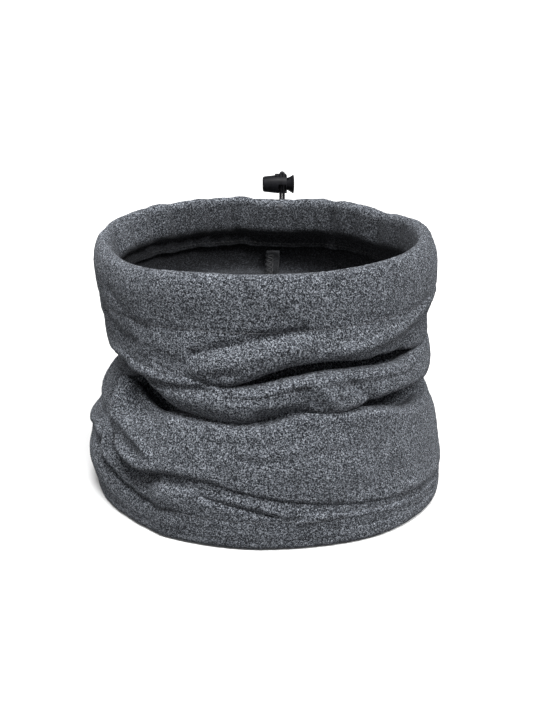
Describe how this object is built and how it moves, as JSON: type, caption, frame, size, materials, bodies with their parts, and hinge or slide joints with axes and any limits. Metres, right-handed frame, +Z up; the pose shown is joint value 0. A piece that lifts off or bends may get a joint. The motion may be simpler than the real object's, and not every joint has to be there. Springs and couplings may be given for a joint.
{
  "type": "neck gaiter",
  "caption": "Fleece tube that stands slouched in soft folds round the neck, with a turned-in casing, a hidden drawcord and a sprung barrel cord lock on the doubled cord at the back.",
  "frame": {"origin": "centre of the footprint at the bottom of the tube, on the plane it stands on", "axes": "+Z up along the tube, from the hem to the drawcord casing; +X across the tube's longer side; +Y towards the back seam and the cord lock"},
  "size_m": [0.2104, 0.1854, 0.1667],
  "materials": {
    "fleece": "heathered short-pile fleece",
    "fleece_turned_in": "heathered short-pile fleece, turned in",
    "thread": "spun polyester thread",
    "cord": "black braided elastic cord",
    "lock_plastic": "satin black moulded plastic",
    "spring_steel": "drawn spring wire"
  },
  "bodies": {
    "gaiter": {"fleece_tube": "fleece", "casing_band": "fleece_turned_in", "hem_band": "fleece_turned_in", "back_seam_allowance": "fleece_turned_in", "seam_overlock_thread": "thread", "casing_stitch_outer": "thread", "casing_stitch_inner": "thread", "hem_stitch_outer": "thread", "hem_stitch_inner": "thread", "bar_tack_outer": "thread", "bar_tack_inner": "thread", "drawcord_ring": "cord"},
    "cord_bight": {"drawcord_bight": "cord"},
    "cord_lock": {"cord_lock_barrel": "lock_plastic", "cord_lock_spring": "spring_steel"},
    "lock_plunger": {"cord_lock_plunger": "lock_plastic"}
  },
  "joints": [
    {"name": "cord_draw", "type": "slide", "parent": "gaiter", "child": "cord_bight", "axis": [0, 0, 1], "range_m": [0, 0.012]},
    {"name": "lock_slide", "type": "slide", "parent": "gaiter", "child": "cord_lock", "axis": [0, 0, 1], "range_m": [-0.0032, 0]},
    {"name": "plunger_press", "type": "slide", "parent": "cord_lock", "child": "lock_plunger", "axis": [-1, 0, 0], "range_m": [0, 0.0021], "stiffness_N_per_m": 900, "springref_m": -0.0012, "deforming": ["cord_lock_spring"]}
  ]
}
